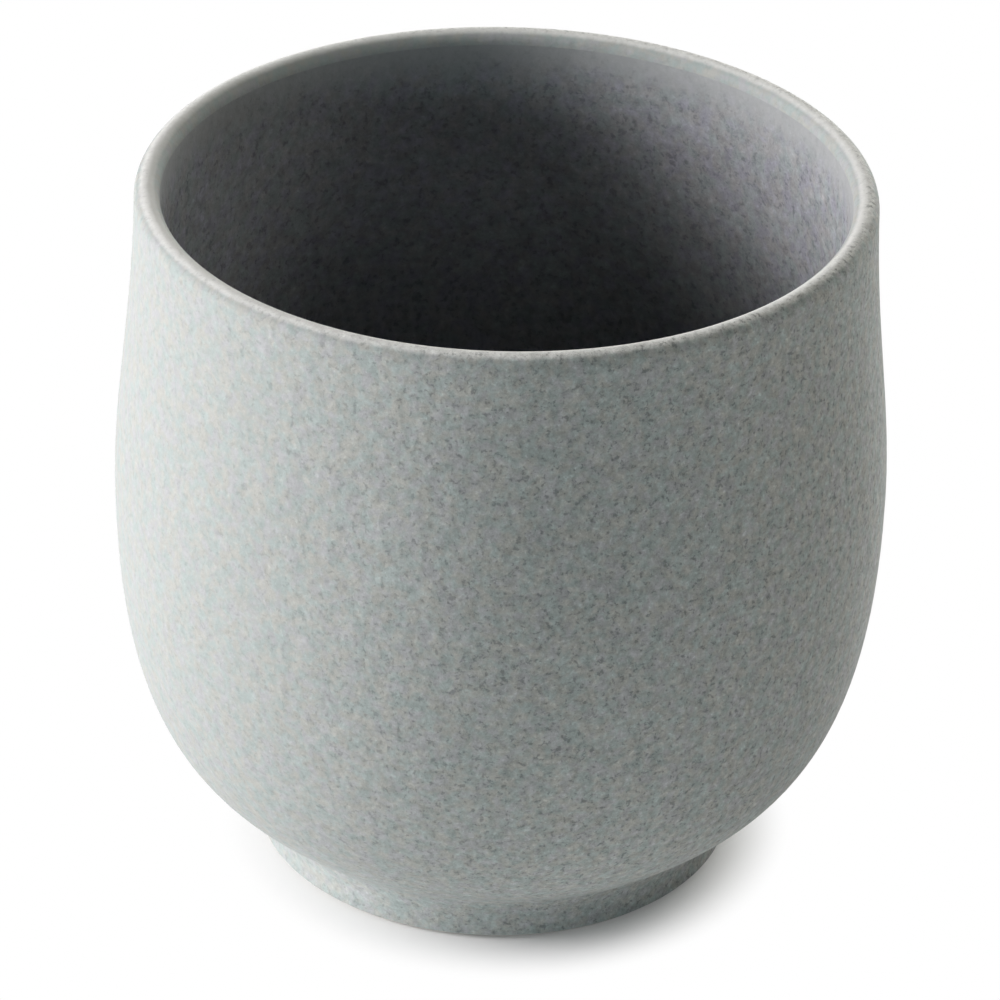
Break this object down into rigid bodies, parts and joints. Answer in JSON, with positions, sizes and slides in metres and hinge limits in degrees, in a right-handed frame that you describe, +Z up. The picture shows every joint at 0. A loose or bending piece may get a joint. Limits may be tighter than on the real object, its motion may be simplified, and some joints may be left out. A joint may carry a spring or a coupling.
{
  "type": "porcelain cup",
  "caption": "Round-bellied porcelain cup without a handle, on a short foot with a hollow underside, with a rounded lip and a matt speckled glaze, for drinking.",
  "frame": {"origin": "centre of the ring that the cup stands on, on the table", "axes": "+Z up along the cup's axis of revolution, X and Y across it"},
  "size_m": [0.08, 0.08, 0.0753],
  "materials": {
    "porcelain": "bare, fired and ground smooth",
    "slip": "fired slip",
    "matt_glaze": "matt grey with fine dark specks",
    "lining_glaze": "satin grey with soft specks",
    "base_glaze": "matt grey with fine dark specks"
  },
  "bodies": {
    "root": {"cup_body": "porcelain", "foot_ring": "porcelain", "luting_slip": "slip", "outer_glaze": "matt_glaze", "inner_glaze": "lining_glaze", "base_glaze": "base_glaze"}
  },
  "joints": []
}
